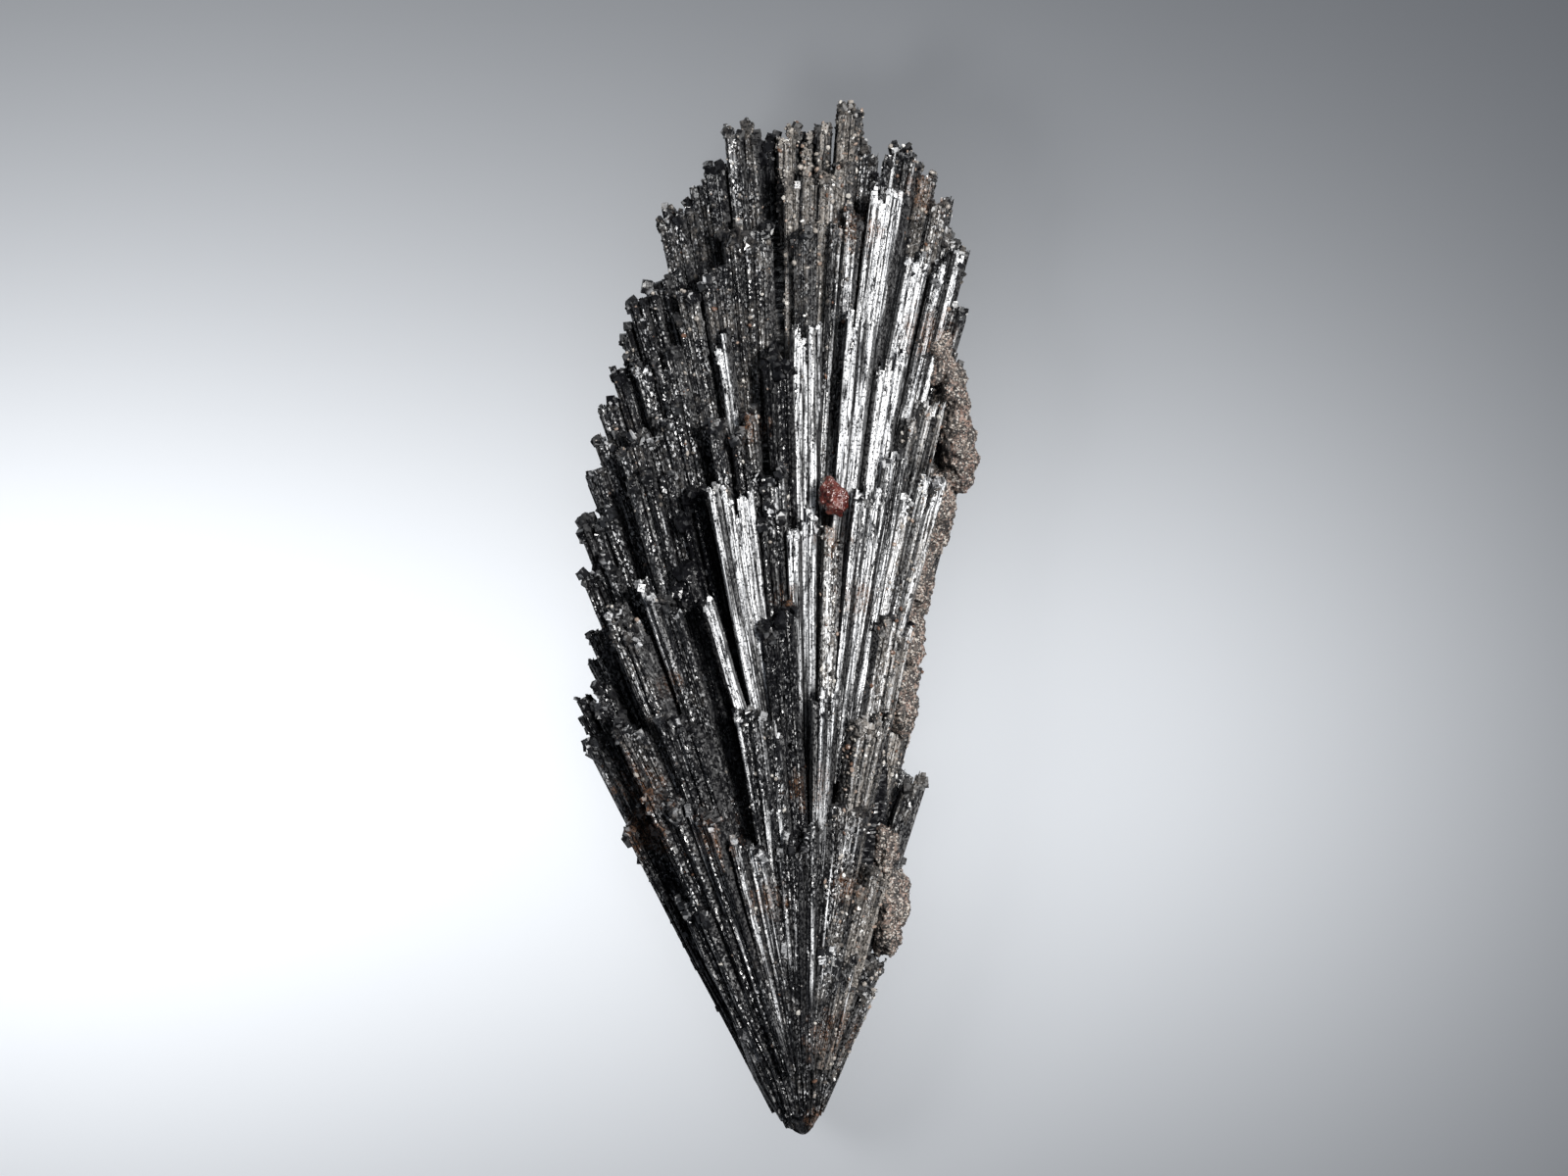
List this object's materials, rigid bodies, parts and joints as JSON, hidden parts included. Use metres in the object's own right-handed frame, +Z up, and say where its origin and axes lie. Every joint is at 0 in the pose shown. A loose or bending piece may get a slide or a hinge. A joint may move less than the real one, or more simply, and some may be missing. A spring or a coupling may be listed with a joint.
{
  "type": "black kyanite fan",
  "caption": "Fan of fused black kyanite blades that spread from a blunt toe to a ragged crown, with a garnet and strips of host rock; it lies on its back.",
  "frame": {"origin": "middle of the footprint, on the surface that the fan lies on", "axes": "+Y from the blunt toe to the crown, +X to the right as the best face is seen from above, +Z up out of the best face"},
  "size_m": [0.0431, 0.1098, 0.0213],
  "materials": {
    "black_kyanite": "near black, glassy and finely grooved along the blades, dusty at the broken ends",
    "garnet": "dark red-brown, glassy",
    "matrix_rock": "rough, sandy, pinkish brown"
  },
  "bodies": {
    "root": {"kyanite_fan": "black_kyanite", "garnet": "garnet", "matrix_crust_upper": "matrix_rock", "matrix_crust_lower": "matrix_rock"}
  },
  "joints": []
}
